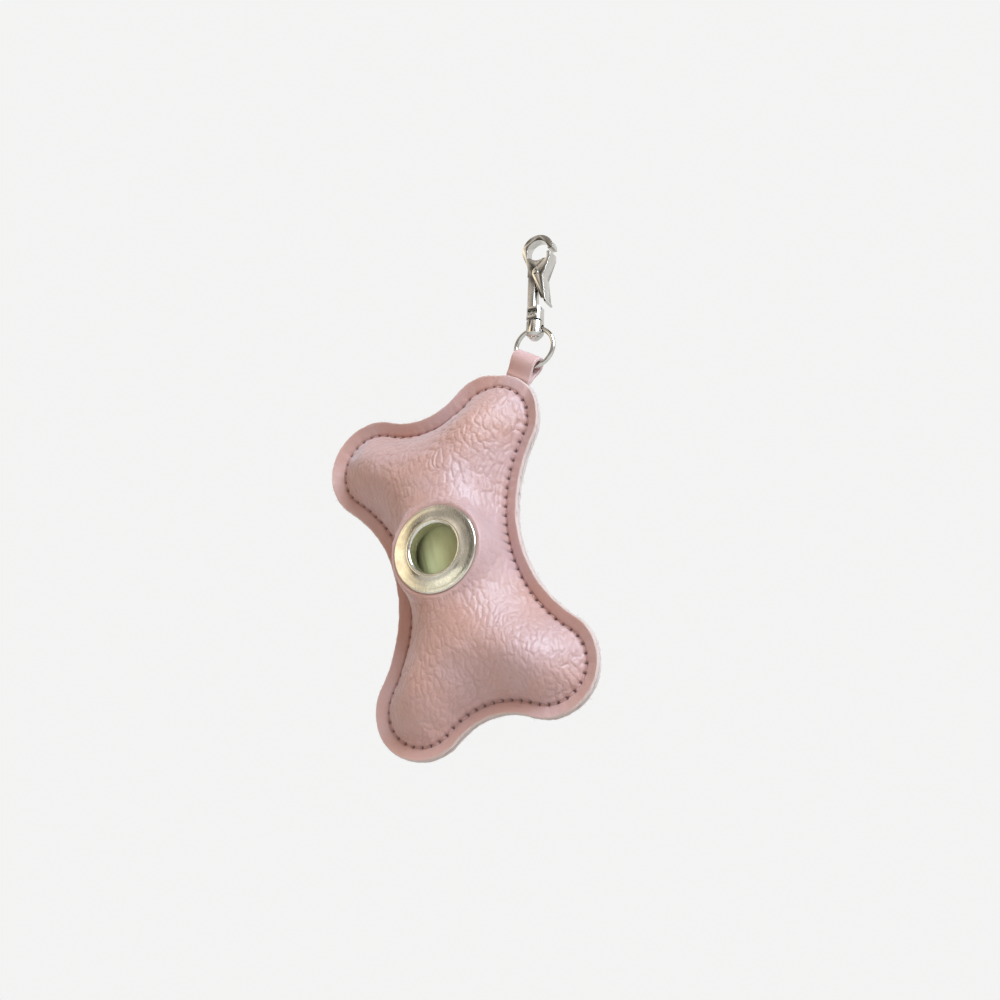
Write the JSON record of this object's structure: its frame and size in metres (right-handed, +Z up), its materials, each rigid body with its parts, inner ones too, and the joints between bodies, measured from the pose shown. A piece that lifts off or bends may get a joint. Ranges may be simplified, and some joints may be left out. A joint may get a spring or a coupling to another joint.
{
  "type": "dog waste bag dispenser pouch",
  "caption": "Bone-shaped stuffed leather pouch that holds a roll of dog waste bags, drawn out through a round eyelet, hung from a strap, ring and swivel trigger snap.",
  "frame": {"origin": "middle of the snap hook's bow, where the dispenser hangs", "axes": "+Z up along the bone's long axis, -Y out of the front face with the eyelet, +X towards the lobe that carries the strap"},
  "size_m": [0.083, 0.0379, 0.1394],
  "materials": {
    "pouch_leather": "grained, satin",
    "strap_leather": "smooth, satin",
    "eyelet_metal": "satin nickel",
    "snap_chrome": "polished",
    "spring_steel": "drawn wire",
    "zip_metal": "polished nickel",
    "zip_tape": "woven, matt",
    "bag_film": "thin film, satin",
    "core_card": "matt"
  },
  "bodies": {
    "pouch": {"front_panel": "pouch_leather", "back_panel": "pouch_leather", "hanging_strap": "strap_leather", "eyelet": "eyelet_metal", "eyelet_washer": "eyelet_metal", "zip_tape_left": "zip_tape", "zip_tape_right": "zip_tape", "zip_teeth_left": "zip_metal", "zip_teeth_right": "zip_metal", "zip_top_stops": "zip_metal", "zip_bottom_stop": "zip_metal"},
    "roll": {"bag_roll": "bag_film", "roll_core": "core_card"},
    "slider": {"zip_slider": "zip_metal"},
    "pull": {"zip_pull": "zip_metal"},
    "ring": {"swivel_ring": "snap_chrome"},
    "barrel": {"swivel_barrel": "snap_chrome", "swivel_rivet": "snap_chrome"},
    "hook": {"hook_body": "snap_chrome", "trigger_spring": "spring_steel"},
    "lever": {"trigger_lever": "snap_chrome", "lever_pin": "snap_chrome"}
  },
  "joints": [
    {"name": "roll_turn", "type": "hinge", "parent": "pouch", "child": "roll", "pos_m": [-0.04472, 0.0006, -0.08352], "axis": [0, 0, 1], "continuous": true},
    {"name": "slider_run", "type": "slide", "parent": "pouch", "child": "slider", "axis": [0, 0, -1], "range_m": [0, 0.0405], "deforming": ["zip_teeth_left", "zip_teeth_right"]},
    {"name": "pull_flip", "type": "hinge", "parent": "slider", "child": "pull", "pos_m": [-0.04472, 0.0196, -0.06112], "axis": [1, 0, 0], "range_deg": [0, 165]},
    {"name": "ring_swing", "type": "hinge", "parent": "pouch", "child": "ring", "pos_m": [-0.01192, 0, -0.03226], "axis": [0.7314, 0, -0.682], "range_deg": [-75, 75]},
    {"name": "barrel_slide", "type": "hinge", "parent": "ring", "child": "barrel", "pos_m": [-0.00863, 0, -0.02873], "axis": [0, 1, 0], "range_deg": [-50, 105]},
    {"name": "hook_swivel", "type": "hinge", "parent": "barrel", "child": "hook", "pos_m": [-0.00863, 0, -0.02873], "axis": [0.2588, 0, 0.9659], "continuous": true},
    {"name": "trigger", "type": "hinge", "parent": "hook", "child": "lever", "pos_m": [-0.00203, 0, -0.0072], "axis": [0, 1, 0], "range_deg": [0, 15], "stiffness_Nm_per_rad": 0.02, "springref_deg": -20.05, "deforming": ["trigger_spring"]}
  ]
}
